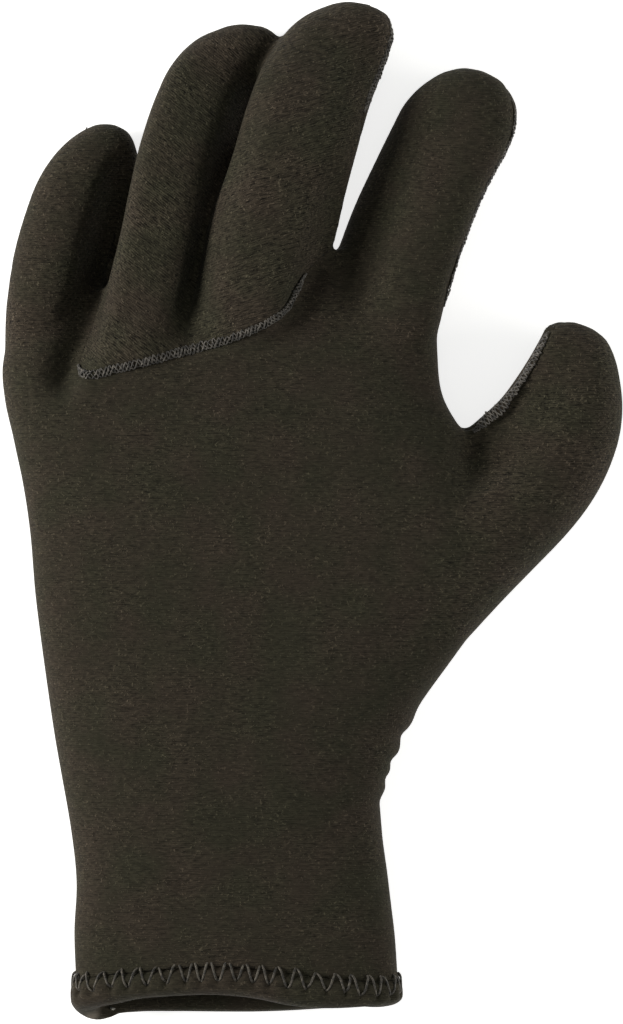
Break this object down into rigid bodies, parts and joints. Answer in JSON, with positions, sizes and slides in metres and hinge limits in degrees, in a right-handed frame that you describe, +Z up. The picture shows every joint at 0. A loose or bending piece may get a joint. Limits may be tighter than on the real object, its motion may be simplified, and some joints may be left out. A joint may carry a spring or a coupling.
{
  "type": "diving glove",
  "caption": "Soft neoprene diving glove for a left hand with separate fingers, lying palm down, with raised overlocked seams and a zigzag stitched wrist hem.",
  "frame": {"origin": "under the middle of the glove, on the surface that it lies on", "axes": "+Y from the wrist to the fingertips, +X towards the thumb, +Z up through the back of the hand"},
  "size_m": [0.1566, 0.2592, 0.0319],
  "materials": {
    "jersey": "matte knitted nylon jersey over neoprene",
    "hem_jersey": "matte knitted nylon jersey, folded",
    "seam_thread": "overlock thread"
  },
  "bodies": {
    "root": {"back_panel": "jersey", "finger_panel": "jersey", "palm_panel": "jersey", "cuff_hem": "hem_jersey", "finger_base_seam": "seam_thread", "thumb_seam": "seam_thread", "index_seam": "seam_thread", "middle_seam": "seam_thread"}
  },
  "joints": []
}
